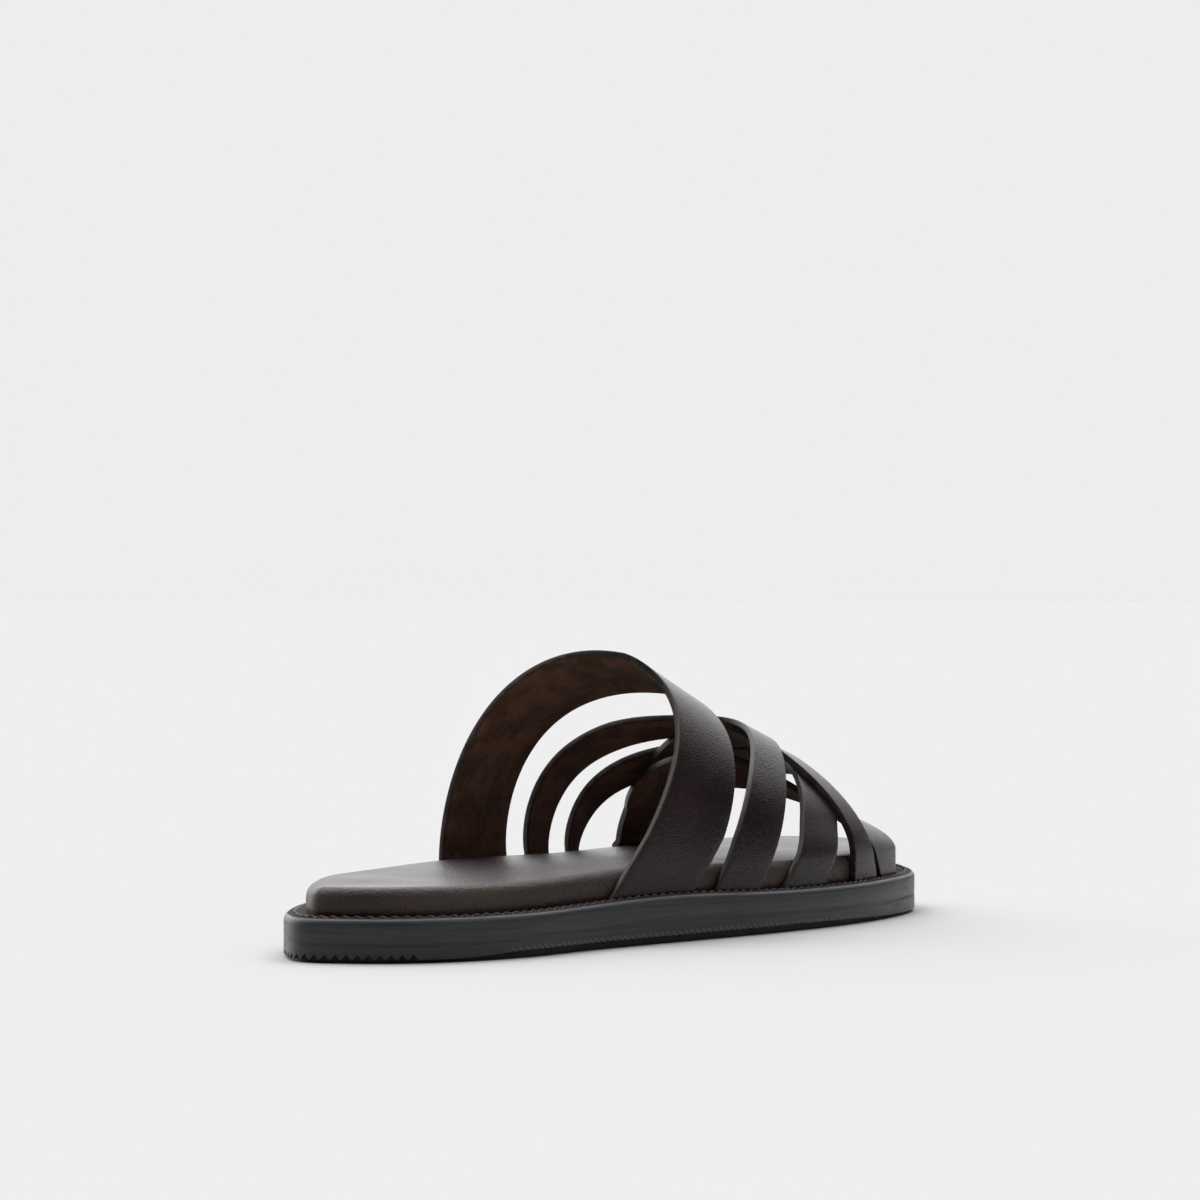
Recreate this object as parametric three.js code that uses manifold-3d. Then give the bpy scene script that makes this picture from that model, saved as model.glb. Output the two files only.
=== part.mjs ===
// A strappy leather slide for the right foot: a moulded outsole, a padded footbed
// that sits on it inside a narrow welt, and five straps that arch over the foot.
// Millimetres. X runs from heel to toe, +Y is the inner side of the foot, +Z is up,
// and the floor is Z = 0. The origin is under the middle of the sole.
import * as THREE from 'three';
import { mergeVertices } from 'three/addons/utils/BufferGeometryUtils.js';
import Module from 'manifold-3d';

// Sole
const soleLength = 290;
const outerReach = 52;
const innerReach = 49;
const soleHeight = 10.3;
const soleEdgeRound = 1.9;
const waistHump = 1.5;
const humpMiddle = 0.39;
const humpSpread = 0.13;
const toeSpring = 0.8;
const springStart = 0.66;

// Tread: the rubber that touches the floor is set in under the wall. Around the heel the wall
// comes further down, and its lower edge is cut into saw teeth.
const treadInset = 1.8;
const treadHeight = 2.2;
const heelTreadHeight = 1;
const toothPitch = 3.05;
const toothLand = 0.45;
const toothReach = 1.2;
const toothLength = 3;
const toothDepth = 1.45;
const heelToothRun = 68;
const heelWallLength = 22;
const heelWallRamp = 28;
const ledgeStep = 0.03;

// Footbed
const weltWidth = 6.2;
const bedThickness = 7.7;
const bedEdgeRound = 2.6;

// Straps
const strapThickness = 1.9;
const instepHeight = 79;
const crownShift = 5.7;
const outerFullness = 1.41;
const innerFullness = 0.94;
const crownRound = 0.06;
const archPower = 1.19;
const forefootStart = 0.586;
const forefootRun = 0.276;
const forefootLimit = 1.1;
const normalStep = 0.04;

// Clearance between pieces that touch, and how much of its thickness a crossing strap is
// lifted by, so that the lower and the upper strap are joined where they cross
const seatGap = 0.3;
const crossingLift = 0.88;

// Outline of the sole from heel to toe. along is a share of the length, outer and inner are
// shares of the widest reach to that side of the centre line.
const outlineRows = [
  { along: 0, outer: -0.05, inner: 0.05 },
  { along: 0.03, outer: 0.37, inner: 0.3 },
  { along: 0.08, outer: 0.605, inner: 0.525 },
  { along: 0.16, outer: 0.76, inner: 0.765 },
  { along: 0.28, outer: 0.8, inner: 0.83 },
  { along: 0.42, outer: 0.895, inner: 0.79 },
  { along: 0.55, outer: 0.98, inner: 0.88 },
  { along: 0.68, outer: 1, inner: 0.985 },
  { along: 0.78, outer: 0.935, inner: 0.975 },
  { along: 0.88, outer: 0.775, inner: 0.92 },
  { along: 0.95, outer: 0.51, inner: 0.755 },
  { along: 0.985, outer: 0.255, inner: 0.53 },
  { along: 1, outer: -0.12, inner: 0.127 },
];

// Height of the last above the footbed, as a share of the instep height
const lastRows = [
  { along: 0.2, height: 1.197 },
  { along: 0.31, height: 1.022 },
  { along: 0.414, height: 0.864 },
  { along: 0.517, height: 0.715 },
  { along: 0.621, height: 0.571 },
  { along: 0.724, height: 0.436 },
  { along: 0.828, height: 0.306 },
  { along: 0.9, height: 0.221 },
];

// Each strap runs from the outer side over the foot to the inner side between a back and a
// front edge. An edge stands at outer and inner, as shares of the length, and leans forward
// by lean at the top, with skew to one side and curl at the quarters. On the footbed's outer
// wall it slants back by foot. height is its share of the last's height. sideRise raises the
// outer flank in the forefoot. layers are lifts along the strap, counted in crossing lifts:
// above a strap that it crosses, or pressed down below it.
const strapRows = {
  instep: {
    back: {
      outer: 0.3336, inner: 0.3685, lean: 0.1171, skew: 0.0428,
      curl: -0.0062, foot: 0.0244, height: 1.0,
    },
    front: {
      outer: 0.4606, inner: 0.4855, lean: 0.0853, skew: 0.0347,
      curl: -0.0127, foot: 0.0265, height: 1.0,
    },
    sideRise: 0.215,
    layers: [[0, 0], [1, 0]],
  },
  upright: {
    back: {
      outer: 0.4783, inner: 0.5351, lean: 0.1207, skew: 0.0341,
      curl: -0.0271, foot: 0.0107, height: 1.0,
    },
    front: {
      outer: 0.5532, inner: 0.5807, lean: 0.116, skew: 0.0276,
      curl: -0.0235, foot: 0.0167, height: 1.0,
    },
    sideRise: 0.215,
    layers: [[0, 0], [0.2, 0], [0.34, 0.5], [0.6, 0.3], [0.75, 0], [1, 0]],
  },
  forward: {
    back: {
      outer: 0.6008, inner: 0.63, lean: 0.0951, skew: 0.0278,
      curl: -0.0202, foot: 0.0223, height: 1.0,
    },
    front: {
      outer: 0.6733, inner: 0.6522, lean: 0.1329, skew: 0.0218,
      curl: -0.0255, foot: 0.0188, height: 1.0,
    },
    sideRise: 0.215,
    layers: [[0, 0], [0.12, -0.8], [0.3, -1], [0.38, -1.3], [0.5, -0.3],
      [0.6, 0.2], [0.8, 0.2], [0.92, 0], [1, 0]],
  },
  crossing: {
    back: {
      outer: 0.7212, inner: 0.73, lean: -0.0584, skew: 0.0022,
      curl: 0.0154, foot: 0.0027, height: 1.0,
    },
    front: {
      outer: 0.7674, inner: 0.7821, lean: -0.0501, skew: -0.0105,
      curl: 0.0111, foot: -0.0106, height: 1.0,
    },
    sideRise: 0.215,
    layers: [[0, 0], [0.3, 0], [0.38, -0.3], [0.5, -0.6], [0.6, -0.8], [0.9, -0.8], [1, 0]],
  },
  toe: {
    back: {
      outer: 0.7833, inner: 0.7997, lean: -0.1251, skew: 0.0187,
      curl: -0.0013, foot: -0.0083, height: 0.775,
    },
    front: {
      outer: 0.8402, inner: 0.8751, lean: -0.1078, skew: 0.046,
      curl: 0.0087, foot: -0.0028, height: 0.625,
    },
    sideRise: -0.069,
    layers: [[0, 0], [1, 0]],
  },
};

// How finely curves are cut into flats
const outlineSteps = 132;
const strapSteps = 40;
const strapLanes = 4;

// A value from a table of rows by straight lines between them
function between(rows, x, at, value) {
  let i = 1;
  while (i < rows.length - 1 && x > rows[i][at]) i += 1;
  const low = rows[i - 1];
  const high = rows[i];
  const share = THREE.MathUtils.clamp((x - low[at]) / (high[at] - low[at]), 0, 1);
  return THREE.MathUtils.lerp(low[value], high[value], share);
}

// Triangles that close a ring of points with rungs from one side to the other: an outline's
// rungs start beside its first point, the heel's tip, and a strap end's at its back edge
function rungCap(ring, tips) {
  const count = ring.length;
  const across = (i) => (count - i - (tips ? 0 : 1)) % count;
  const cap = [];
  for (let i = 0; i < count / 2 - (tips ? 0 : 1); i += 1) {
    if (across(i) !== i) cap.push([i, i + 1, across(i)]);
    if (across(i + 1) !== i + 1) cap.push([i + 1, across(i + 1), across(i)]);
  }
  return cap;
}

// A closed skin over rings of points that all have the same count
function loft(rings, tips) {
  const count = rings[0].length;
  const index = [];
  for (let r = 0; r < rings.length - 1; r += 1) {
    for (let i = 0; i < count; i += 1) {
      const a = r * count + i;
      const b = r * count + (i + 1) % count;
      index.push(a, b, b + count, a, b + count, a + count);
    }
  }
  const lastStart = (rings.length - 1) * count;
  for (const [ring, start, flip] of [[rings[0], 0, true], [rings.at(-1), lastStart, false]]) {
    for (const [a, b, c] of rungCap(ring, tips)) {
      index.push(start + a, start + (flip ? c : b), start + (flip ? b : c));
    }
  }
  const geometry = new THREE.BufferGeometry().setFromPoints(rings.flat());
  geometry.setIndex(index);
  return geometry;
}

// Solids for joining and cutting
const wasm = await Module();
wasm.setup();

function solidOf(source) {
  const geometry = source.clone();
  geometry.deleteAttribute('normal');
  geometry.deleteAttribute('uv');
  const merged = mergeVertices(geometry, 1e-4);
  const mesh = { numProp: 3, vertProperties: new Float32Array(merged.attributes.position.array),
    triVerts: new Uint32Array(merged.index.array) };
  const solid = new wasm.Manifold(new wasm.Mesh(mesh));
  if (solid.volume() > 0) return solid;
  mesh.triVerts.reverse();
  return new wasm.Manifold(new wasm.Mesh(mesh));
}

function geometryOf(solid) {
  const mesh = solid.getMesh();
  const geometry = new THREE.BufferGeometry();
  geometry.setAttribute('position', new THREE.BufferAttribute(mesh.vertProperties, 3));
  geometry.setIndex(new THREE.BufferAttribute(mesh.triVerts, 1));
  geometry.computeVertexNormals();
  return geometry;
}

// The sole's outline, centred on the origin
const outlineKnots = [
  ...outlineRows.map((row) => new THREE.Vector3(row.along * soleLength, -row.outer * outerReach, 0)),
  ...outlineRows.slice(1, -1).reverse()
    .map((row) => new THREE.Vector3(row.along * soleLength, row.inner * innerReach, 0)),
];
const outline = new THREE.CatmullRomCurve3(outlineKnots, true, 'centripetal');
const outlineBox = new THREE.Box3().setFromPoints(outline.getSpacedPoints(outlineSteps));
const middle = outlineBox.getCenter(new THREE.Vector3());
const rim = outline.getSpacedPoints(outlineSteps).slice(0, -1).map((p) => p.sub(middle));

function rimNormal(i) {
  const ahead = rim[(i + 1) % rim.length];
  const behind = rim[(i + rim.length - 1) % rim.length];
  return new THREE.Vector3(ahead.y - behind.y, behind.x - ahead.x, 0).normalize();
}

// The outline moved in by inset, with its height worked out at each point
function ring(inset, heightAt) {
  return rim.map((p, i) => {
    const q = p.clone().addScaledVector(rimNormal(i), -inset);
    q.z = heightAt(q.x);
    return q;
  });
}

// Heights along the shoe
const along = (x) => (x + soleLength / 2) / soleLength;
const springAt = (x) => toeSpring * Math.max(0, (along(x) - springStart) / (1 - springStart)) ** 2;
const humpAt = (x) => waistHump * Math.exp(-(((along(x) - humpMiddle) / humpSpread) ** 2));
const wallTopAt = (x) => soleHeight + humpAt(x) + springAt(x);
const wallFootAt = (x) => springAt(x) + THREE.MathUtils.lerp(heelTreadHeight, treadHeight,
  THREE.MathUtils.smoothstep(x + soleLength / 2 - heelWallLength, 0, heelWallRamp));
const weltAt = (x) => wallTopAt(x) + soleEdgeRound;
const bedTopAt = (x) => weltAt(x) + seatGap + bedThickness;

// Outsole: tread, a step out to the wall, the wall and its rounded top edge
function outsoleSolid() {
  const edge = [0.15, 0.4, 0.7, 1].map((share) => {
    const angle = share * Math.PI / 2;
    const inset = soleEdgeRound * (1 - Math.cos(angle));
    return ring(inset, (x) => wallTopAt(x) + soleEdgeRound * Math.sin(angle));
  });
  let sole = solidOf(loft([
    ring(treadInset, springAt),
    ring(treadInset, (x) => wallFootAt(x) + ledgeStep),
    ring(0, wallFootAt),
    ring(0, wallTopAt),
    ...edge,
  ], true));
  // Saw teeth: notches across the wall's lower edge around the heel, square to the outline
  const mouth = (toothPitch - toothLand) / 2;
  const heel = new THREE.Shape([
    new THREE.Vector2(-mouth, -toothDepth),
    new THREE.Vector2(mouth, -toothDepth),
    new THREE.Vector2(mouth, 0),
    new THREE.Vector2(0, toothDepth),
    new THREE.Vector2(-mouth, 0),
  ]);
  const notch = new THREE.ExtrudeGeometry(heel, { depth: toothLength, bevelEnabled: false });
  const rimLength = outline.getLength();
  const teeth = Math.floor(heelToothRun / toothPitch);
  for (let tooth = 0; tooth < teeth; tooth += 1) {
    const run = (tooth - (teeth - 1) / 2) * toothPitch;
    const share = THREE.MathUtils.euclideanModulo(run / rimLength, 1);
    const at = outline.getPointAt(share).sub(middle);
    const tangent = outline.getTangentAt(share);
    const outward = new THREE.Vector3(tangent.y, -tangent.x, 0);
    const frame = new THREE.Matrix4().makeBasis(tangent, new THREE.Vector3(0, 0, 1), outward);
    frame.setPosition(at.addScaledVector(outward, -toothReach).setZ(heelTreadHeight));
    sole = sole.subtract(solidOf(notch.clone().applyMatrix4(frame)));
  }
  return sole;
}

// Footbed: an upright side wall and a rounded top edge
function footbedSolid() {
  const edge = [0, 0.25, 0.5, 0.75, 1].map((share) => {
    const angle = share * Math.PI / 2;
    const inset = weltWidth + bedEdgeRound * (1 - Math.cos(angle));
    return ring(inset, (x) => bedTopAt(x) - bedEdgeRound * (1 - Math.sin(angle)));
  });
  return solidOf(loft([ring(weltWidth, (x) => weltAt(x) + seatGap), ...edge], true));
}

// The line that the straps' outer faces stand on, on either side of the footbed
const strapFoot = ring(weltWidth - seatGap - strapThickness, () => 0);

function footY(x, side) {
  let best = 0;
  for (let i = 0; i < strapFoot.length; i += 1) {
    const a = strapFoot[i];
    const b = strapFoot[(i + 1) % strapFoot.length];
    if ((a.x - x) * (b.x - x) > 0 || a.x === b.x) continue;
    const y = THREE.MathUtils.mapLinear(x, a.x, b.x, a.y, b.y);
    if (y * side > best * side) best = y;
  }
  return best;
}

function edgeX(edge, turn) {
  const share = THREE.MathUtils.clamp(turn / Math.PI, 0, 1);
  const angle = share * Math.PI;
  const x = THREE.MathUtils.lerp(edge.outer, edge.inner, share) + edge.lean * Math.sin(angle)
    + edge.skew * Math.sin(2 * angle) + edge.curl * Math.sin(3 * angle)
    - edge.foot * Math.max(0, -turn);
  return (x - 0.5) * soleLength;
}

// A point on the outer face of an unlifted strap: turn is 0 at the top edge of the footbed on
// the outer side and half a turn on the inner side. Beyond both it drops to the welt.
function lastPoint(strap, lane, turn) {
  const x = THREE.MathUtils.lerp(edgeX(strap.back, turn), edgeX(strap.front, turn), lane);
  const angle = THREE.MathUtils.clamp(turn, 0, Math.PI);
  const beyond = Math.max(0, -turn, turn - Math.PI);
  const cos = Math.cos(angle);
  const sin = Math.sin(angle);
  const low = footY(x, -1);
  const high = footY(x, 1);
  const fullness = cos > 0 ? outerFullness : innerFullness;
  const roundness = (cos ** 2 + crownRound) / (1 + crownRound);
  const reach = cos * roundness ** ((fullness - 1) / 2);
  const y = (low + high) / 2 - (high - low) / 2 * reach - crownShift * sin ** 2;
  const height = instepHeight * between(lastRows, along(x), 'along', 'height')
    * THREE.MathUtils.lerp(strap.back.height, strap.front.height, lane);
  const forefoot = THREE.MathUtils.clamp((along(x) - forefootStart) / forefootRun, 0, forefootLimit);
  const rise = height * Math.abs(sin) ** archPower * (1 + strap.sideRise * forefoot * cos);
  const drop = THREE.MathUtils.lerp(0, bedThickness, beyond);
  return new THREE.Vector3(x, y, bedTopAt(x) + rise - drop);
}

// The strap's outward direction, from the points around it
function lastNormal(strap, lane, turn) {
  const forward = lastPoint(strap, lane + normalStep, turn)
    .sub(lastPoint(strap, lane - normalStep, turn));
  const around = lastPoint(strap, lane, turn + normalStep)
    .sub(lastPoint(strap, lane, turn - normalStep));
  return forward.cross(around).normalize();
}

function strapSolid(strap) {
  const rings = [];
  const turns = [-1, -0.5];
  for (let i = 0; i <= strapSteps; i += 1) turns.push(Math.PI * i / strapSteps);
  turns.push(Math.PI + 0.5, Math.PI + 1);
  const rows = strap.layers.map(([at, lift]) => ({ at, lift }));
  for (const turn of turns) {
    const lift = between(rows, turn / Math.PI, 'at', 'lift') * strapThickness * crossingLift;
    const outside = [];
    const inside = [];
    for (let lane = 0; lane <= strapLanes; lane += 1) {
      const share = lane / strapLanes;
      const p = lastPoint(strap, share, turn);
      const n = lastNormal(strap, share, turn);
      if (turn < 0 || turn > Math.PI) n.setZ(0).normalize();
      outside.push(p.clone().addScaledVector(n, lift));
      inside.unshift(p.clone().addScaledVector(n, lift - strapThickness));
    }
    rings.push([...outside, ...inside]);
  }
  return solidOf(loft(rings, false));
}

function matt(color, roughness) {
  return new THREE.MeshStandardMaterial({ color, roughness, metalness: 0 });
}

// The four front straps are joined where they cross. Thin pockets that are sealed between
// two crossing straps come out of the join as shells turned inside out, and are filled.
const joinedStraps = wasm.Manifold.union(
  ['upright', 'forward', 'crossing', 'toe'].map((name) => strapSolid(strapRows[name])),
);
const wovenUpper = wasm.Manifold.union(
  joinedStraps.decompose().filter((shell) => shell.volume() > 0),
);

const sandal = new THREE.Group();
for (const [name, solid, material] of [
  ['outsole', outsoleSolid(), matt(0x2e2e33, 0.55)],
  ['footbed', footbedSolid(), matt(0x3a2f2e, 0.45)],
  ['instep_strap', strapSolid(strapRows.instep), matt(0x2b2322, 0.5)],
  ['woven_straps', wovenUpper, matt(0x2b2322, 0.5)],
]) {
  const mesh = new THREE.Mesh(geometryOf(solid), material);
  mesh.name = name;
  sandal.add(mesh);
}

export default sandal;
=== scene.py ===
"""Looks of a strappy leather slide for the right foot: moulded sole with a stitched welt,
padded footbed and five leather straps. Metres, heel to toe along X, inner side at +Y."""
import math
from collections import namedtuple

import bpy
import numpy as np
from mathutils import Matrix, Vector


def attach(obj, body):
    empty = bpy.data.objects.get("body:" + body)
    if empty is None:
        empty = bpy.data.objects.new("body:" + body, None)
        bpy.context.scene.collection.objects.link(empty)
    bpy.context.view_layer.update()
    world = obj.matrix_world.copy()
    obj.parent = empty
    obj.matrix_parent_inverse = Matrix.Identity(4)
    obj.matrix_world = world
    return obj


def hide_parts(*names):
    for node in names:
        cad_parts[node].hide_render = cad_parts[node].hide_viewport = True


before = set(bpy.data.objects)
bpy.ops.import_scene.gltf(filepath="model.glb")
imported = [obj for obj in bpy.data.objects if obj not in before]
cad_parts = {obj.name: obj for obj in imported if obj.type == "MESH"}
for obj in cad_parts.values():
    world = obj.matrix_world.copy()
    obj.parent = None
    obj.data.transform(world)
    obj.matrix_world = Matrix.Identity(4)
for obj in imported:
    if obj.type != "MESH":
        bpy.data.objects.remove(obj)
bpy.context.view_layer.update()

# Sizes of the shoe, in metres, and shares and powers of its forms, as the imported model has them
MM = 0.001
SOLE_LENGTH = 290 * MM
OUTER_REACH = 52 * MM
INNER_REACH = 49 * MM
SOLE_HEIGHT = 10.3 * MM
SOLE_EDGE = 1.9 * MM
WAIST_HUMP = 1.5 * MM
HUMP_MIDDLE = 0.39
HUMP_SPREAD = 0.13
TOE_SPRING = 0.8 * MM
SPRING_START = 0.66
TREAD_INSET = 1.8 * MM
TREAD_HEIGHT = 2.2 * MM
HEEL_TREAD_HEIGHT = 1 * MM
HEEL_WALL = 22 * MM
HEEL_WALL_RAMP = 28 * MM
TOOTH_PITCH = 3.05 * MM
TOOTH_HALF_MOUTH = 1.3 * MM
TOOTH_DEPTH = 1.45 * MM
TOOTH_COUNT = 22
TOOTH_REACH = 1.2 * MM
WELT_WIDTH = 6.2 * MM
BED_THICKNESS = 7.7 * MM
BED_EDGE = 3.5 * MM
STRAP_THICKNESS = 1.9 * MM
INSTEP_HEIGHT = 79 * MM
CROWN_SHIFT = 5.7 * MM
SEAT_GAP = 0.3 * MM
OUTER_FULLNESS = 1.41
INNER_FULLNESS = 0.94
CROWN_ROUND = 0.06
ARCH_POWER = 1.19
FOREFOOT_START = 0.586
FOREFOOT_RUN = 0.276
FOREFOOT_LIMIT = 1.1
SIDE_RISE = 0.215

# The wall of the sole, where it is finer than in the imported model: how it comes down round the
# toe, the ribs along its foot, the level seam and the level edges that carry them
TOE_FROM = 20 * MM
TOE_RUN = 90 * MM
TOE_LOWERING = 0.2
TOOTH_BACK = 0.05 * MM
TOOTH_CROWDING = 0.35
RIB_PITCH = 2.6 * MM
RIB_HEIGHT = 0.7 * MM
RIB_FOOT_DEPTH = 0.42 * MM
RIB_HEAD_DEPTH = 0.16 * MM
RIB_FOOT_RISE = 0.15 * MM
RIBS_FROM = -108 * MM
RIBS_TO = 76 * MM
RIB_FADE_IN = 6 * MM
RIB_FADE_OUT = 16 * MM
SEAM_HEIGHT = 6.2 * MM
SEAM_HALF = 0.4 * MM
SEAM_DEPTH = 0.08 * MM
SEAM_TOE_DEPTH = 0.36 * MM
SEAM_TOE_FROM = 70 * MM
SEAM_TOE_RUN = 60 * MM
WALL_LEVELS = (TREAD_HEIGHT + RIB_HEIGHT, 3.7 * MM, 4.8 * MM, SEAM_HEIGHT - SEAM_HALF,
               SEAM_HEIGHT, SEAM_HEIGHT + SEAM_HALF, 8.6 * MM)

# The footbed pad: its puffed side, tucked foot and dished top
BED_SIDES = 300
BED_SUNK = 0.2 * MM
BED_BELLY = 0.18 * MM
BED_TUCK = 0.35 * MM
BED_DISH = 0.15 * MM
DISH_RUN = 30 * MM
BED_RINGS = (0.12, 0.26, 0.42, 0.58, 0.74, 0.88)
BED_LEVELS = (0.8 * MM, 2 * MM, 3.6 * MM)

# The straps: how they end at the welt, how far one layer lifts another, and their strips
FOOT_INSET = WELT_WIDTH - SEAT_GAP - STRAP_THICKNESS
FOOT_BELOW = 0.15 * MM
FOOT_TURN = 1 + (SEAT_GAP + FOOT_BELOW) / BED_THICKNESS
FOOT_SHARE = 0.05
STRAIGHT_TURN = 0.18
NORMAL_STEP = 0.03
LAYER_LIFT = 2.05 * MM
STRAP_ROUNDING = 0.42 * MM
STRAP_STEPS = 150
STRAP_LANES = 10
STRIP_LENGTH = 0.21
STRIPS_APART = 0.5

# The welt stitching
STITCH_PITCH = 3.6 * MM
STITCH_LENGTH = 3.5 * MM
STITCH_INSET = 2.95 * MM
STITCH_LIFT = 0.12 * MM
STITCH_SLANT = 0.09
STITCH_SUNK = 0.35 * MM
STITCH_RISE = 0.45 * MM
STITCH_TWIST = math.radians(26)
STITCH_CUTS = 7
THREAD_RADIUS = 0.38 * MM
THREAD_FLATNESS = 0.62

# How near counts as at a place, and how level or upright a face has to be
NEAR = 0.05 * MM
TINY = 0.01 * MM
LEVEL = 0.9995
UPRIGHT = 0.5

# Outline of the sole: share of the length, then shares of the reach to the outer and inner side
OUTLINE = [
    (0, -0.05, 0.05), (0.03, 0.37, 0.3), (0.08, 0.605, 0.525), (0.16, 0.76, 0.765),
    (0.28, 0.8, 0.83), (0.42, 0.895, 0.79), (0.55, 0.98, 0.88), (0.68, 1, 0.985),
    (0.78, 0.935, 0.975), (0.88, 0.775, 0.92), (0.95, 0.51, 0.755), (0.985, 0.255, 0.53),
    (1, -0.12, 0.127),
]

# Height of the last above the footbed, as shares of the instep height along the shoe
LAST = [
    (0.2, 1.197), (0.31, 1.022), (0.414, 0.864), (0.517, 0.715),
    (0.621, 0.571), (0.724, 0.436), (0.828, 0.306), (0.9, 0.221),
]

# An edge of a strap, in shares of the sole's length: its outer and inner foot, lean, skew, curl
# and the slant of its outer foot. Then the height it keeps, as a share of the last's.
Edge = namedtuple("Edge", "outer inner lean skew curl slant height")

# A strap: its back and front edge, the rise of its outer flank, and its lifts from the outer to
# the inner side, counted in layers of leather
Shape = namedtuple("Shape", "back front side_rise lifts")

STRAPS = {
    "instep": Shape(
        Edge(0.3336, 0.3685, 0.1171, 0.0428, -0.0062, 0.0244, 1),
        Edge(0.4606, 0.4855, 0.0853, 0.0347, -0.0127, 0.0265, 1),
        SIDE_RISE, [(0, 0), (1, 0)],
    ),
    "upright": Shape(
        Edge(0.4783, 0.5351, 0.1207, 0.0341, -0.0271, 0.0107, 1),
        Edge(0.5532, 0.5807, 0.116, 0.0276, -0.0235, 0.0167, 1),
        SIDE_RISE, [(0, 0), (0.2, 0), (0.34, 0.5), (0.6, 0.3), (0.75, 0), (1, 0)],
    ),
    "forward": Shape(
        Edge(0.6008, 0.63, 0.0951, 0.0278, -0.0202, 0.0223, 1),
        Edge(0.6733, 0.6522, 0.1329, 0.0218, -0.0255, 0.0188, 1),
        SIDE_RISE, [(0, 0), (0.12, -0.8), (0.3, -1), (0.38, -1.3), (0.5, -0.3), (0.6, 0.2),
                    (0.8, 0.2), (0.92, 0), (1, 0)],
    ),
    "crossing": Shape(
        Edge(0.7212, 0.73, -0.0584, 0.0022, 0.0154, 0.0027, 1),
        Edge(0.7674, 0.7821, -0.0501, -0.0105, 0.0111, -0.0106, 1),
        SIDE_RISE, [(0, 0), (0.3, 0), (0.38, -0.3), (0.5, -0.6), (0.6, -0.8), (0.96, -0.8),
                    (1, 0)],
    ),
    "toe": Shape(
        Edge(0.7833, 0.7997, -0.1251, 0.0187, -0.0013, -0.0083, 0.7755),
        Edge(0.8402, 0.8751, -0.1078, 0.046, 0.0087, -0.0028, 0.6255),
        -0.069, [(0, 0), (1, 0)],
    ),
}


# The last: outline and heights

def closed_curve(knots, cuts=60):
    """Points on a smooth closed curve through the knots, each knot's pull set by its distance."""
    count = len(knots)
    points = []
    for i in range(count):
        a, b, c, d = (knots[(i + k - 1) % count] for k in range(4))
        ab, bc, cd = (math.dist(p, q) ** 0.5 for p, q in ((a, b), (b, c), (c, d)))
        start = ((b - a) / ab - (c - a) / (ab + bc) + (c - b) / bc) * bc
        end = ((c - b) / bc - (d - b) / (bc + cd) + (d - c) / cd) * bc
        for t in np.arange(cuts) / cuts:
            points.append(b + start * t + (3 * (c - b) - 2 * start - end) * t * t
                          + (2 * (b - c) + start + end) * t ** 3)
    return np.array(points)


def sole_outline():
    """Outline points from the heel's tip round the outer side, and how far along each one is."""
    outer = [np.array((a * SOLE_LENGTH, -o * OUTER_REACH)) for a, o, _ in OUTLINE]
    inner = [np.array((a * SOLE_LENGTH, i * INNER_REACH)) for a, _, i in OUTLINE[-2:0:-1]]
    points = closed_curve(outer + inner)
    points -= (points.max(0) + points.min(0)) / 2
    points = np.vstack([points, points[:1]])
    run = np.concatenate([[0], np.cumsum(np.hypot(*np.diff(points, axis=0).T))])
    return points, run


OUTLINE_POINTS, OUTLINE_RUN = sole_outline()
OUTLINE_STEP = 1.5 * MM
GIRTH = OUTLINE_RUN[-1]
ROUND = GIRTH / (2 * math.pi)


def on_outline(run, inset=0):
    """The point that far round the outline, moved in by inset."""
    at = [np.array([np.interp(r % GIRTH, OUTLINE_RUN, OUTLINE_POINTS[:, k]) for k in (0, 1)])
          for r in (run - OUTLINE_STEP, run, run + OUTLINE_STEP)]
    ahead = at[2] - at[0]
    ahead /= np.hypot(*ahead)
    return at[1] + inset * np.array((-ahead[1], ahead[0]))


def smooth(t):
    t = min(max(t, 0), 1)
    return t * t * (3 - 2 * t)


def along(x):
    return x / SOLE_LENGTH + 0.5


def spring(x):
    return TOE_SPRING * max(0, (along(x) - SPRING_START) / (1 - SPRING_START)) ** 2


def wall_top(x):
    hump = WAIST_HUMP * math.exp(-((along(x) - HUMP_MIDDLE) / HUMP_SPREAD) ** 2)
    return SOLE_HEIGHT + hump + spring(x)


def wall_foot(x):
    ramp = smooth((x + SOLE_LENGTH / 2 - HEEL_WALL) / HEEL_WALL_RAMP)
    toe = smooth((x - TOE_FROM) / TOE_RUN)
    rise = (TREAD_HEIGHT - HEEL_TREAD_HEIGHT) * ramp * (1 - toe)
    return spring(x) + HEEL_TREAD_HEIGHT * (1 - toe * TOE_LOWERING) + rise


def welt_top(x):
    return wall_top(x) + SOLE_EDGE


def bed_top(x):
    return welt_top(x) + SEAT_GAP + BED_THICKNESS


# Handwork on meshes

def object_mode():
    bpy.ops.object.mode_set(mode="OBJECT")


def deselect():
    bpy.ops.object.select_all(action="DESELECT")


def select(faces=None, edges=None):
    """Selects the faces whose middle and normal pass the test, or the edges whose ends do."""
    bpy.ops.object.mode_set(mode="EDIT")
    bpy.ops.mesh.select_mode(type="FACE" if faces else "EDGE")
    bpy.ops.mesh.select_all(action="DESELECT")
    object_mode()
    mesh = bpy.context.object.data
    if faces:
        for face in mesh.polygons:
            face.select = faces(face.center, face.normal)
    else:
        for edge in mesh.edges:
            edge.select = edges(*(mesh.vertices[i].co for i in edge.vertices))
    bpy.ops.object.mode_set(mode="EDIT")


def start(name):
    """Names the primitive that was just added."""
    piece = bpy.context.object
    piece.name = name
    piece.data.name = name
    return piece


def apply_place():
    bpy.ops.object.transform_apply(location=True, rotation=True, scale=True)


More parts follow.
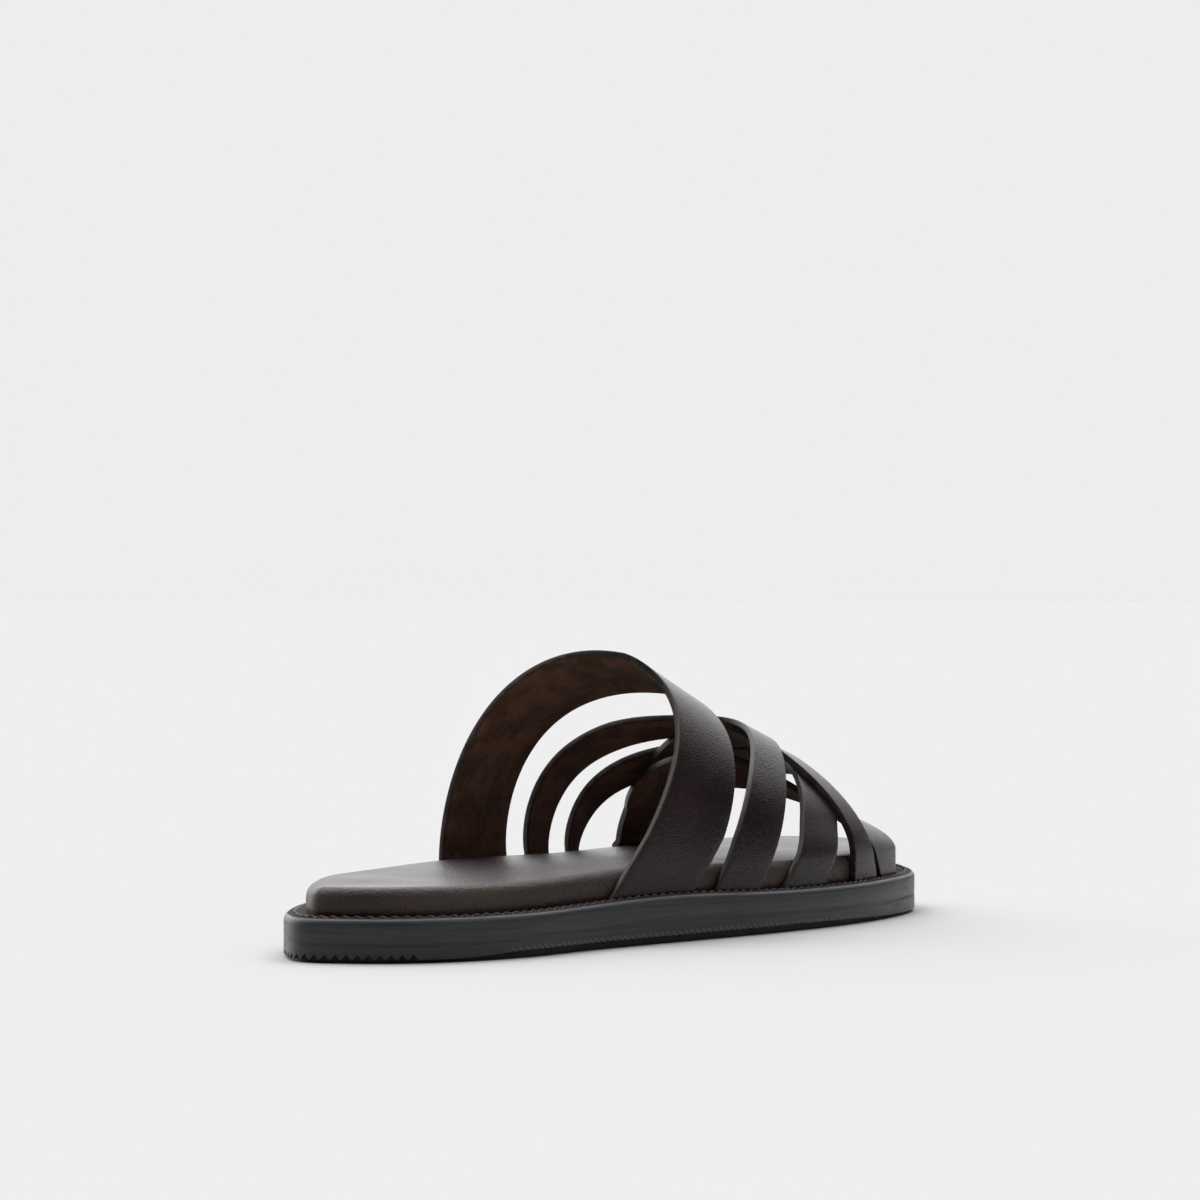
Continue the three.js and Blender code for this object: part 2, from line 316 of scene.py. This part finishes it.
def modify(piece, kind, **settings):
    modifier = piece.modifiers.new(kind.lower(), kind)
    for name, value in settings.items():
        setattr(modifier, name, value)
    bpy.context.view_layer.objects.active = piece
    bpy.ops.object.modifier_apply(modifier=modifier.name)


def pick(pieces):
    deselect()
    for piece in pieces:
        piece.select_set(True)
    bpy.context.view_layer.objects.active = pieces[0]


def soften(piece, degrees):
    pick([piece])
    bpy.ops.object.shade_smooth_by_angle(angle=math.radians(degrees))


def blank(name, stations, inset, low, high):
    """A round blank with one side for each station, as long round as the outline."""
    deselect()
    bpy.ops.mesh.primitive_cylinder_add(
        vertices=len(stations), radius=ROUND - inset, depth=high - low,
        location=(0, 0, (high + low) / 2), end_fill_type="NGON")
    piece = start(name)
    apply_place()
    return piece


def round_rim(top, inset, radius, segments):
    """Rounds the top rim of the blank in hand, which stands inset from the outline."""
    rim = ROUND - inset - NEAR
    select(edges=lambda a, b: min(a.z, b.z) > top - NEAR
           and min(a.xy.length, b.xy.length) > rim)
    bpy.ops.mesh.bevel(offset=radius, segments=segments, affect="EDGES")


def inset_rings(insets):
    """Insets the selected face again and again, from the first inset to the last."""
    for done, inset in zip(insets, insets[1:]):
        bpy.ops.mesh.inset(thickness=inset - done, depth=0)


def rings_to_middle(side, height, insets):
    """Rings the end face on that side with insets, and takes out the middle that is left."""
    select(faces=lambda c, n: n.z * side > LEVEL and abs(c.z - height) < NEAR)
    inset_rings(insets)
    bpy.ops.mesh.delete(type="ONLY_FACE")
    object_mode()


def cut_level(heights):
    """Cuts level edges into the wall of the blank in hand."""
    for height in heights:
        select(faces=lambda c, n: abs(n.z) < UPRIGHT)
        bpy.ops.mesh.bisect(plane_co=(0, 0, height), plane_no=(0, 0, 1))
        object_mode()


DEEP = 12 * MM
LAST_RING = ROUND - 1 * MM
SPINE_LENGTH = 0.78
SPINE_REACHED = 0.98


def lay_on_last(piece, stations, height, touch):
    """Bends a round blank to the outline: a side's run round the blank becomes its run round
    the shoe, and its distance from the rim stays. Deep rings close on the shoe's middle line."""
    count = len(stations)
    pattern = piece.data.attributes.new("pattern", "FLOAT_VECTOR", "POINT")
    rim = [on_outline(run) for run in stations]
    deep = [on_outline(run, DEEP) for run in stations]
    spine = [(rim[i] + rim[-i % count]) / 2 * (SPINE_LENGTH, 1) for i in range(count)]
    for vertex in piece.data.vertices:
        x, y, z = vertex.co
        turn = (math.atan2(y, x) + math.pi) / (2 * math.pi)
        i = round(turn * count) % count
        inset = ROUND - math.hypot(x, y)
        share = (inset - DEEP) / (ROUND - DEEP)
        if share <= 0:
            place = on_outline(stations[i], inset)
        else:
            share = min(1, share / SPINE_REACHED)
            place = deep[i] * (1 - share) + spine[i] * share
        angle = stations[i] / ROUND
        pattern.data[vertex.index].vector = (
            ROUND * math.cos(angle), ROUND * math.sin(angle), z + inset)
        lifted = height(place[0], inset, z)
        place, lifted = touch(vertex, stations[i], place, lifted, inset, z)
        vertex.co = (place[0], place[1], lifted)
    pick([piece])
    bpy.ops.object.mode_set(mode="EDIT")
    bpy.ops.mesh.select_all(action="SELECT")
    bpy.ops.mesh.remove_doubles(threshold=TINY)
    bpy.ops.mesh.select_all(action="DESELECT")
    object_mode()


# Shader wiring

class Wire:
    """A socket that works in sums as a number does."""

    def __init__(self, nodes, socket):
        self.nodes = nodes
        self.socket = socket

    def sum_with(self, operation, first, second):
        return self.nodes.node("Math", {"operation": operation}, {0: first, 1: second})

    def __add__(self, other):
        return self.sum_with("ADD", self, other)

    def __rsub__(self, other):
        return self.sum_with("SUBTRACT", other, self)

    def __mul__(self, other):
        return self.sum_with("MULTIPLY", self, other)


class Nodes:
    """A node tree in the making."""

    def __init__(self, tree):
        self.tree = tree

    def node(self, kind, settings=None, sockets=None, out=0):
        made = self.tree.nodes.new("ShaderNode" + kind)
        for name, value in (settings or {}).items():
            setattr(made, name, value)
        for name, value in (sockets or {}).items():
            self.feed(made.inputs[name], value)
        return Wire(self, made.outputs[out])

    def feed(self, socket, value):
        if isinstance(value, Wire):
            self.tree.links.new(value.socket, socket)
        else:
            socket.default_value = value

    def fit(self, value, low, high, to_low=0, to_high=1):
        """Eases a value from low to high into a value from to_low to to_high."""
        return self.node("MapRange", {"interpolation_type": "SMOOTHSTEP"}, {
            "Value": value, "From Min": low, "From Max": high,
            "To Min": to_low, "To Max": to_high})


class Paint(Nodes):
    """A material in the making."""

    def __init__(self, name):
        self.material = bpy.data.materials.new(name)
        self.material.use_nodes = True
        super().__init__(self.material.node_tree)
        self.shader = self.tree.nodes["Principled BSDF"]

    def finish(self, **values):
        for name, value in values.items():
            self.feed(self.shader.inputs[name.replace("_", " ")], value)
        return self.material

    def stretched(self, at, stretch):
        return self.node("Mapping", None, {"Vector": at, "Scale": stretch})

    def place(self, stretch=(1, 1, 1)):
        """Coordinates in metres."""
        return self.stretched(self.node("TexCoord", out="Object"), stretch)

    def pattern(self, stretch=(1, 1, 1)):
        """Coordinates in metres on the flat pattern that the piece is cut from."""
        return self.stretched(
            self.node("Attribute", {"attribute_name": "pattern"}, out="Vector"), stretch)

    def noise(self, at, size, detail=3, rough=0.55):
        """Soft noise with lumps of about size."""
        return self.node("TexNoise", None, {
            "Vector": at, "Scale": 1 / size, "Detail": detail, "Roughness": rough})

    def cells(self, at, size):
        return self.node("TexVoronoi", None, {"Vector": at, "Scale": 1 / size})

    def zigzag(self, value, height):
        return self.node("Math", {"operation": "PINGPONG"}, {0: value, 1: height})

    def blend(self, share, first, second):
        return self.node("Mix", {"data_type": "RGBA"}, {0: share, 6: first, 7: second}, 2)

    def part(self, vector, axis):
        return self.node("SeparateXYZ", None, {0: vector}, axis)

    def upward(self):
        """How far the surface faces up, from -1 to 1."""
        return self.part(self.node("NewGeometry", out="Normal"), 2)

    def bump(self, height, depth, strength=1, under=None):
        sockets = {"Height": height, "Distance": depth, "Strength": strength}
        if under:
            sockets["Normal"] = under
        return self.node("Bump", None, sockets)


def tone(red, green, blue):
    """A colour as a screen shows it, from 0 to 255."""
    values = [c / 255 for c in (red, green, blue)]
    return tuple(c / 12.92 if c < 0.04045 else ((c + 0.055) / 1.055) ** 2.4
                 for c in values) + (1,)


def strap_leather():
    """Espresso leather, polished over a pebbled grain, redder and duller in patches, with lighter
    streaks painted on as streaky highlights.
    """
    paint = Paint("strap_leather")
    at = paint.pattern()
    patches = paint.noise(at, 24 * MM)
    # Lighter streaks, painted in as the streaky highlights of the polished leather.
    streaks = paint.noise(paint.pattern((3.2, 0.35, 1)), 8 * MM, 4)
    pebbles = paint.cells(at, 0.72 * MM)
    pores = paint.noise(at, 0.45 * MM, 2)
    wrinkles = paint.noise(paint.pattern((1, 0.55, 1)), 3.6 * MM, 4, 0.62)
    colour = paint.blend(paint.fit(patches, 0.35, 0.65), tone(28, 15, 17), tone(43, 24, 27))
    colour = paint.blend(paint.fit(streaks, 0.5, 0.75) * 0.4, colour, tone(52, 38, 38))
    colour = paint.blend(paint.fit(pebbles, 0.4, 0.8) * 0.55, colour, tone(20, 13, 13))
    grain = paint.bump(1 - pebbles * 0.8 + pores * 0.3, 0.12 * MM)
    normal = paint.bump(wrinkles, 0.09 * MM, 0.5, grain)
    rough = paint.fit(patches * 0.6 + pores * 0.4, 0.3, 0.7, 0.26, 0.36)
    return paint.finish(Base_Color=colour, Roughness=rough, Normal=normal,
                        Specular_IOR_Level=0.3)


def strap_lining():
    """Warm brown lining with a soft nap and rubbed clouds."""
    paint = Paint("strap_lining")
    at = paint.pattern()
    clouds = paint.noise(at, 7 * MM, 5, 0.6)
    nap = paint.noise(at, 0.7 * MM)
    colour = paint.blend(paint.fit(clouds, 0.35, 0.68), tone(64, 43, 33), tone(108, 74, 57))
    colour = paint.blend(paint.fit(nap, 0.4, 0.7) * 0.4, colour, tone(122, 86, 67))
    normal = paint.bump(nap * 0.7 + clouds * 0.3, 0.09 * MM)
    rough = paint.fit(clouds, 0.3, 0.7, 0.62, 0.78)
    return paint.finish(Base_Color=colour, Roughness=rough, Normal=normal,
                        Specular_IOR_Level=0.3)


def strap_edge():
    """Painted cut edge, rubbed lighter here and there."""
    paint = Paint("strap_edge_paint")
    at = paint.pattern()
    rub = paint.noise(at, 5 * MM, 4, 0.6)
    fine = paint.noise(at, 0.6 * MM, 2)
    colour = paint.blend(paint.fit(rub, 0.38, 0.68), tone(34, 28, 25), tone(60, 51, 45))
    normal = paint.bump(fine, 0.05 * MM)
    rough = paint.fit(rub, 0.3, 0.7, 0.36, 0.5)
    return paint.finish(Base_Color=colour, Roughness=rough, Normal=normal,
                        Specular_IOR_Level=0.3)


def bed_leather():
    """Footbed leather: smooth and satin on top, finely puckered where it turns down the side.
    Painted light: its top is tinted a darker purple-grey for the look of its sheen, its side a
    lighter brown.
    """
    paint = Paint("footbed_leather")
    flat = paint.place()
    up = paint.fit(paint.upward(), 0.35, 0.95)
    clouds = paint.noise(flat, 30 * MM)
    colour = paint.blend(paint.fit(clouds, 0.35, 0.65), tone(60, 49, 45), tone(72, 60, 54))
    # Painted light: upward faces get a darker purple-grey tone of their own, standing in for the
    # look of the top's sheen.
    colour = paint.blend(up, colour, tone(49, 39, 42))
    pebbles = paint.cells(paint.pattern(), 0.8 * MM)
    pucker = paint.noise(paint.pattern((1, 1, 0.22)), 1.1 * MM)
    pores = paint.noise(flat, 0.45 * MM, 2)
    side = paint.bump(pucker + (1 - pebbles) * 0.6, 0.24 * MM)
    top = paint.bump((1 - paint.cells(flat, 1.1 * MM)) * 0.7 + pores * 0.3, 0.22 * MM)
    normal = paint.node("Mix", {"data_type": "VECTOR"}, {0: up, 4: side, 5: top}, 1)
    rough = paint.fit(clouds * 0.5 + pores * 0.5, 0.3, 0.7, 0.36, 0.5)
    return paint.finish(Base_Color=colour, Roughness=rough, Normal=normal,
                        Specular_IOR_Level=0.32)


def sole_wall():
    """Charcoal sole wall with the fine level streaks of a ground and inked edge. Its rounded top
    edge is painted paler and bluer, a painted highlight, its foot is paler and browner, and the
    welt on top is painted dark, a painted shade, and made dull."""
    paint = Paint("sole_wall")
    layers = paint.noise(paint.place((1, 1, 38)), 34 * MM, 4, 0.6)
    hairs = paint.noise(paint.place((1, 1, 60)), 12 * MM)
    low = paint.fit(paint.part(paint.place(), 2), 0.5 * MM, 7 * MM, 1, 0)
    up = paint.upward()
    welt = paint.fit(up, 0.8, 0.97)
    ribs = paint.node("Attribute", {"attribute_name": "ribs"}, out="Fac")
    colour = paint.blend(paint.fit(layers, 0.35, 0.65), tone(44, 44, 45), tone(56, 55, 55))
    colour = paint.blend(low * 0.5, colour, tone(56, 55, 48))
    # Painted highlight: faces turning upward round the top edge are painted paler and bluer.
    colour = paint.blend(paint.fit(up, 0.15, 0.6) * 0.8, colour, tone(60, 66, 73))
    # Painted shade: the welt's upward face, the ledge at the footbed's foot, is painted near
    # black; it is also made duller.
    colour = paint.blend(welt, colour, tone(24, 21, 20))
    colour = paint.blend(paint.fit(ribs, 0.15, 0.8), colour, tone(88, 78, 67))
    normal = paint.bump(layers * 0.6 + hairs * 0.4, 0.16 * MM, 0.8)
    rough = paint.fit(hairs, 0.3, 0.7, 0.34, 0.48) + welt * 0.5
    return paint.finish(Base_Color=colour, Roughness=rough, Normal=normal,
                        Specular_IOR_Level=0.4)


def tread_rubber():
    """Black rubber under the foot, with shallow zigzag grooves."""
    paint = Paint("tread_rubber")
    at = paint.place()
    sway = paint.zigzag(paint.part(at, 1), 4 * MM)
    saw = paint.zigzag(paint.part(at, 0) + sway * 0.5, TOOTH_PITCH / 2)
    under = paint.fit(paint.upward(), -0.95, -0.8, 1, 0)
    dust = paint.noise(at, 6 * MM, 4)
    colour = paint.blend(paint.fit(dust, 0.35, 0.7), tone(21, 21, 22), tone(33, 33, 33))
    fine = paint.bump(paint.noise(at, 0.8 * MM, 2), 0.05 * MM)
    normal = paint.bump(saw * under * (1 / MM), 0.5 * MM, 0.8, fine)
    rough = paint.fit(dust, 0.3, 0.7, 0.55, 0.7)
    return paint.finish(Base_Color=colour, Roughness=rough, Normal=normal,
                        Specular_IOR_Level=0.4)


def waxed_thread():
    """Brown waxed thread; its lighter orange-brown patches are partly uneven colouring and partly
    painted highlights.
    """
    paint = Paint("waxed_thread")
    at = paint.place()
    dye_and_highlight = paint.noise(at, 9 * MM)
    fibre = paint.noise(at, 0.35 * MM)
    # Patches from brown to lighter orange-brown: uneven colouring, and painted highlights on the
    # thread.
    colour = paint.blend(paint.fit(dye_and_highlight, 0.35, 0.65), tone(82, 58, 43), tone(106, 76, 55))
    colour = paint.blend(paint.fit(fibre, 0.45, 0.7) * 0.6, colour, tone(52, 36, 28))
    normal = paint.bump(fibre, 0.06 * MM)
    rough = paint.fit(fibre, 0.3, 0.7, 0.5, 0.65)
    return paint.finish(Base_Color=colour, Roughness=rough, Normal=normal,
                        Specular_IOR_Level=0.35)


# Outsole

def sole_stations():
    """Runs round the outline from the heel's tip, and the runs of the tooth tips. Each heel
    tooth has its own corners, and the rest goes half a rib at a time. A multiple of four sides
    puts a corner of the blank at the heel."""
    teeth = [(k - (TOOTH_COUNT - 1) / 2) * TOOTH_PITCH for k in range(TOOTH_COUNT)]
    runs = [tip + part for tip in teeth for part in (-TOOTH_HALF_MOUTH, 0, TOOTH_HALF_MOUTH)]
    left = GIRTH - (runs[-1] - runs[0])
    halves = 2 * round(left / RIB_PITCH)
    while (len(runs) + halves - 1) % 4:
        halves += 1
    runs += [runs[-1] + left * (k + 1) / halves for k in range(halves - 1)]
    offset = next(i for i, run in enumerate(runs) if run >= 0)
    runs = runs[offset:] + [run + GIRTH for run in runs[:offset]]
    return runs, [tip % GIRTH for tip in teeth]


def outsole():
    stations, teeth = sole_stations()
    top = SOLE_HEIGHT + SOLE_EDGE
    piece = blank("outsole_shell", stations, 0, TREAD_HEIGHT, top)
    round_rim(top, 0, SOLE_EDGE, 6)
    deep = [DEEP, 40 * MM, 80 * MM, LAST_RING]
    rings_to_middle(1, top, [SOLE_EDGE, 5 * MM] + deep)
    select(faces=lambda c, n: n.z < -LEVEL)
    inset_rings([0, TOOTH_REACH, TOOTH_REACH + TOOTH_BACK, TREAD_INSET])
    bpy.ops.mesh.extrude_region_move(
        TRANSFORM_OT_translate={"value": (0, 0, -TREAD_HEIGHT)})
    object_mode()
    rings_to_middle(-1, 0, [TREAD_INSET] + deep)
    cut_level(WALL_LEVELS)
    ribs = piece.data.attributes.new("ribs", "FLOAT", "POINT")

    def height(x, inset, z):
        if z < TREAD_HEIGHT - TINY:
            return spring(x)
        foot, head = wall_foot(x), wall_top(x)
        if z < SOLE_HEIGHT:
            return foot + (head - foot) * (z - TREAD_HEIGHT) / (SOLE_HEIGHT - TREAD_HEIGHT)
        return head + z - SOLE_HEIGHT

    def touch(vertex, run, place, z, inset, blank_z):
        """Tooth tips round the heel, then slanting ribs along the foot of the wall; the seam."""
        level = blank_z - TREAD_HEIGHT
        tooth_tip = HEEL_TREAD_HEIGHT + TOOTH_DEPTH
        if any(abs(run % GIRTH - tooth) < TINY for tooth in teeth) and level > -TINY:
            if inset < TOOTH_REACH + TINY and level < NEAR:
                z = tooth_tip
            elif inset < NEAR:
                z = max(z, tooth_tip + TOOTH_CROWDING * level)
        ribbed = (smooth((place[0] - RIBS_FROM) / RIB_FADE_IN)
                  * smooth((RIBS_TO - place[0]) / RIB_FADE_OUT))
        if inset < NEAR and ribbed > 0 and -TINY < level < RIB_HEIGHT + NEAR:
            low = level < RIB_HEIGHT / 2
            if (stations.index(run) + (not low)) % 2:
                place = on_outline(run, ribbed * (RIB_FOOT_DEPTH if low else RIB_HEAD_DEPTH))
                z += ribbed * RIB_FOOT_RISE if low else 0
            else:
                ribs.data[vertex.index].value = ribbed
        if inset < NEAR and abs(blank_z - SEAM_HEIGHT) < NEAR:
            toe = smooth((place[0] - SEAM_TOE_FROM) / SEAM_TOE_RUN)
            place = on_outline(run, SEAM_DEPTH + SEAM_TOE_DEPTH * toe)
        return place, z

    piece.data.materials.append(sole_wall())
    piece.data.materials.append(tread_rubber())
    for face in piece.data.polygons:
        face.material_index = 1 if face.center.z < TREAD_HEIGHT + TINY else 0
    lay_on_last(piece, stations, height, touch)
    soften(piece, 38)
    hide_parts("outsole")
    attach(piece, "root")


# Footbed

def footbed():
    stations = [GIRTH * k / BED_SIDES for k in range(BED_SIDES)]
    low = SOLE_HEIGHT + SOLE_EDGE - BED_SUNK
    high = SOLE_HEIGHT + SOLE_EDGE + SEAT_GAP + BED_THICKNESS
    piece = blank("footbed_pad", stations, WELT_WIDTH, low, high)
    round_rim(high, WELT_WIDTH, BED_EDGE, 7)
    first = WELT_WIDTH + BED_EDGE
    deep = [DEEP + share * (ROUND - DEEP) for share in BED_RINGS]
    rings_to_middle(1, high, [first, first + 1.6 * MM, DEEP] + deep + [LAST_RING])
    rings_to_middle(-1, low, [WELT_WIDTH, DEEP, 50 * MM, LAST_RING])
    cut_level([low + level for level in BED_LEVELS])

    def height(x, inset, z):
        lift = wall_top(x) - SOLE_HEIGHT
        if z > high - TINY:
            lift -= BED_DISH * smooth((inset - first) / DISH_RUN)
        return z + lift

    def touch(vertex, run, place, z, inset, blank_z):
        """The side puffs out in the middle and tucks in at its foot."""
        share = (blank_z - low) / (high - BED_EDGE - low)
        if inset < WELT_WIDTH + NEAR and 0 <= share < 1:
            belly = BED_BELLY * math.sin(math.pi * share)
            tuck = BED_TUCK * (1 - share) ** 3
            place = on_outline(run, inset - belly + tuck)
        return place, z

    lay_on_last(piece, stations, height, touch)
    piece.data.materials.append(bed_leather())
    soften(piece, 50)
    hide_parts("footbed")
    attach(piece, "root")


# Straps

FOOT_LINE = np.array([on_outline(run, FOOT_INSET) for run in np.linspace(0, GIRTH, 400)])
TOE_TIP = int(np.argmax(FOOT_LINE[:, 0]))


def foot_y(x, side):
    """Where the straps' outer faces stand on that side of the footbed."""
    half = FOOT_LINE[:TOE_TIP + 1] if side < 0 else FOOT_LINE[:TOE_TIP - 1:-1]
    return float(np.interp(x, half[:, 0], half[:, 1]))


def last_height(x):
    return np.interp(along(x), [a for a, _ in LAST], [h for _, h in LAST]) * INSTEP_HEIGHT


def eased(table, x):
    """A value from a table, easing in and out of each row."""
    for (a, low), (b, high) in zip(table, table[1:]):
        if x <= b:
            return low + (high - low) * smooth((x - a) / (b - a))
    return table[-1][1]


def edge_x(edge, turn):
    """Where a strap's edge lies; below a low turn it runs straight down to the outer welt."""
    share = min(max(turn, STRAIGHT_TURN) / math.pi, 1)
    angle = share * math.pi
    x = edge.outer + (edge.inner - edge.outer) * share + edge.lean * math.sin(angle)
    x += edge.skew * math.sin(2 * angle) + edge.curl * math.sin(3 * angle)
    if turn < STRAIGHT_TURN:
        tall = edge.height * last_height((edge.outer - 0.5) * SOLE_LENGTH)
        knee = tall * math.sin(STRAIGHT_TURN) ** ARCH_POWER + BED_THICKNESS
        here = tall * math.sin(max(0, turn)) ** ARCH_POWER + BED_THICKNESS * (1 + min(0, turn))
        foot = edge.outer - edge.slant
        x = foot + (x - foot) * here / knee
    return (x - 0.5) * SOLE_LENGTH


def last_point(shape, lane, turn):
    """A point on the last under a strap. Lane goes from its back edge to its front edge. Turn
    goes from 0 at the footbed's outer side to pi at its inner side, and past both to the welt."""
    x = edge_x(shape.back, turn) * (1 - lane) + edge_x(shape.front, turn) * lane
    angle = min(max(turn, 0), math.pi)
    beyond = max(0, -turn, turn - math.pi)
    cos, sin = math.cos(angle), math.sin(angle)
    low, high = foot_y(x, -1), foot_y(x, 1)
    fullness = OUTER_FULLNESS if cos > 0 else INNER_FULLNESS
    roundness = (cos ** 2 + CROWN_ROUND) / (1 + CROWN_ROUND)
    reach = cos * roundness ** ((fullness - 1) / 2)
    y = (low + high) / 2 - (high - low) / 2 * reach - CROWN_SHIFT * sin ** 2
    tall = last_height(x) * (shape.back.height * (1 - lane) + shape.front.height * lane)
    forefoot = min(max((along(x) - FOREFOOT_START) / FOREFOOT_RUN, 0), FOREFOOT_LIMIT)
    rise = tall * abs(sin) ** ARCH_POWER * (1 + shape.side_rise * forefoot * cos)
    return Vector((x, y, bed_top(x) + rise - BED_THICKNESS * beyond))


def last_normal(shape, lane, turn):
    ahead = (last_point(shape, lane + NORMAL_STEP, turn)
             - last_point(shape, lane - NORMAL_STEP, turn))
    around = (last_point(shape, lane, turn + NORMAL_STEP)
              - last_point(shape, lane, turn - NORMAL_STEP))
    normal = ahead.cross(around)
    if not 0 <= turn <= math.pi:
        normal.z = 0
    return normal.normalized()


def turn_at(share):
    """Turn round the last from the share of the strap's length."""
    if share < FOOT_SHARE:
        return -FOOT_TURN * (1 - share / FOOT_SHARE)
    if share > 1 - FOOT_SHARE:
        return math.pi + FOOT_TURN * (share - 1 + FOOT_SHARE) / FOOT_SHARE
    return math.pi * (share - FOOT_SHARE) / (1 - 2 * FOOT_SHARE)


def strap(name, number, finishes, node):
    """A flat strip of leather, bent over the last, lined, cut square and its edges rounded."""
    shape = STRAPS[name]
    deselect()
    bpy.ops.mesh.primitive_grid_add(
        x_subdivisions=STRAP_STEPS, y_subdivisions=STRAP_LANES, size=1)
    piece = start(name + "_strap_leather")
    pattern = piece.data.attributes.new("pattern", "FLOAT_VECTOR", "POINT")
    for vertex in piece.data.vertices:
        share, lane = vertex.co.x + 0.5, vertex.co.y + 0.5
        turn = turn_at(share)
        lift = eased(shape.lifts, min(max(turn / math.pi, 0), 1)) * LAYER_LIFT
        place = last_point(shape, lane, turn)
        if lift:
            place += last_normal(shape, lane, turn) * lift
        wide = abs(edge_x(shape.front, turn) - edge_x(shape.back, turn))
        pattern.data[vertex.index].vector = (
            share * STRIP_LENGTH, lane * wide, number * STRIPS_APART)
        vertex.co = place
    select(faces=lambda c, n: True)
    bpy.ops.mesh.flip_normals()
    object_mode()
    for finish in finishes:
        piece.data.materials.append(finish)
    modify(piece, "SOLIDIFY", thickness=STRAP_THICKNESS, offset=-1, use_even_offset=True,
           material_offset=1, material_offset_rim=2)
    modify(piece, "BEVEL", width=STRAP_ROUNDING, segments=3, limit_method="ANGLE",
           angle_limit=math.radians(50), material=2)
    soften(piece, 40)
    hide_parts(node)
    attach(piece, "root")


# Welt stitching

def one_stitch():
    """An oval thread, twisted, humped in the middle and diving into the welt at its ends."""
    deselect()
    bpy.ops.mesh.primitive_circle_add(
        vertices=8, radius=THREAD_RADIUS, fill_type="NGON", rotation=(0, math.pi / 2, 0),
        location=(-STITCH_LENGTH / 2, 0, -STITCH_SUNK))
    piece = start("welt_stitching")
    apply_place()
    for vertex in piece.data.vertices:
        vertex.co.z = -STITCH_SUNK + (vertex.co.z + STITCH_SUNK) * THREAD_FLATNESS
    select(faces=lambda c, n: True)
    step = STITCH_LENGTH / STITCH_CUTS
    humps = [STITCH_RISE * math.sin(math.pi * k / STITCH_CUTS) for k in range(STITCH_CUTS + 1)]
    for cut in range(STITCH_CUTS):
        bpy.ops.mesh.extrude_region_move(
            TRANSFORM_OT_translate={"value": (step, 0, humps[cut + 1] - humps[cut])})
        middle = (step * (cut + 1) - STITCH_LENGTH / 2, 0, humps[cut + 1] - STITCH_SUNK)
        bpy.ops.transform.rotate(value=STITCH_TWIST, orient_axis="X", center_override=middle)
    bpy.ops.mesh.select_all(action="SELECT")
    bpy.ops.mesh.normals_make_consistent(inside=False)
    object_mode()
    return piece


def welt_stitching():
    pattern = one_stitch()
    count = round(GIRTH / STITCH_PITCH)
    stitches = []
    for k in range(count):
        run = (k + 0.5) * GIRTH / count
        x, y = on_outline(run, STITCH_INSET)
        ahead = on_outline(run + 1 * MM, STITCH_INSET) - on_outline(run - 1 * MM, STITCH_INSET)
        heading = math.atan2(ahead[1], ahead[0])
        place = Matrix.Translation((x, y, welt_top(x) + STITCH_LIFT))
        mesh = pattern.data.copy()
        mesh.transform(place @ Matrix.Rotation(heading + STITCH_SLANT, 4, "Z"))
        stitch = bpy.data.objects.new("stitch", mesh)
        bpy.context.scene.collection.objects.link(stitch)
        stitches.append(stitch)
    pick(stitches)
    bpy.ops.object.join()
    bpy.data.objects.remove(pattern)
    piece = start("welt_stitching")
    piece.data.materials.append(waxed_thread())
    soften(piece, 60)
    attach(piece, "root")


# Studio

FLOOR_GREY = 0.635
BACKDROP_GREY = 0.847
BRIGHT_SIDE = (0.35, 0.6, 0.72)


def floor():
    deselect()
    bpy.ops.mesh.primitive_plane_add(size=60)
    piece = start("studio_floor")
    paint = Paint("studio_floor")
    piece.data.materials.append(paint.finish(
        Base_Color=(FLOOR_GREY, FLOOR_GREY, FLOOR_GREY, 1), Roughness=0.9,
        Specular_IOR_Level=0))


def sun(name, strength, angle, heading, height):
    light = bpy.data.lights.new(name, "SUN")
    light.energy = strength
    light.angle = math.radians(angle)
    lamp = bpy.data.objects.new(name, light)
    lamp.rotation_euler = (math.radians(90 - height), 0, math.radians(heading + 90))
    bpy.context.scene.collection.objects.link(lamp)


def studio():
    """A pale room, brighter overhead and behind the shoe than behind the camera."""
    world = bpy.data.worlds.new("studio")
    bpy.context.scene.world = world
    world.use_nodes = True
    nodes = Nodes(world.node_tree)
    side = nodes.node("VectorMath", {"operation": "DOT_PRODUCT"},
                      {0: nodes.node("TexCoord", out="Generated"), 1: BRIGHT_SIDE}, "Value")
    light = nodes.fit(side, 0.3, 0.95, 0.04, 2.4)
    seen = nodes.node("LightPath", out="Is Camera Ray")
    back = nodes.tree.nodes["Background"]
    nodes.feed(back.inputs["Color"], (1, 1, 1, 1))
    nodes.feed(back.inputs["Strength"],
               nodes.node("Mix", None, {0: seen, 2: light, 3: BACKDROP_GREY}))
    sun("overhead_light", strength=0.8, angle=70, heading=40, height=72)
    sun("side_light", strength=0.35, angle=50, heading=-80, height=35)


def camera():
    lens = bpy.data.cameras.new("photo_camera")
    lens.lens = 130.92
    lens.clip_end = 200
    eye = bpy.data.objects.new("photo_camera", lens)
    eye.location = (-1.0742, -0.7306, 0.1012)
    eye.rotation_euler = (math.radians(89.856), 0, math.radians(-55.59))
    bpy.context.scene.collection.objects.link(eye)
    bpy.context.scene.camera = eye


camera()
floor()
studio()
bpy.context.scene.view_settings.view_transform = "Standard"

outsole()
footbed()
strap_finishes = [strap_leather(), strap_lining(), strap_edge()]
strap("instep", 1, strap_finishes, "instep_strap")
for number, name in enumerate(("upright", "forward", "crossing", "toe"), 2):
    strap(name, number, strap_finishes, "woven_straps")
welt_stitching()
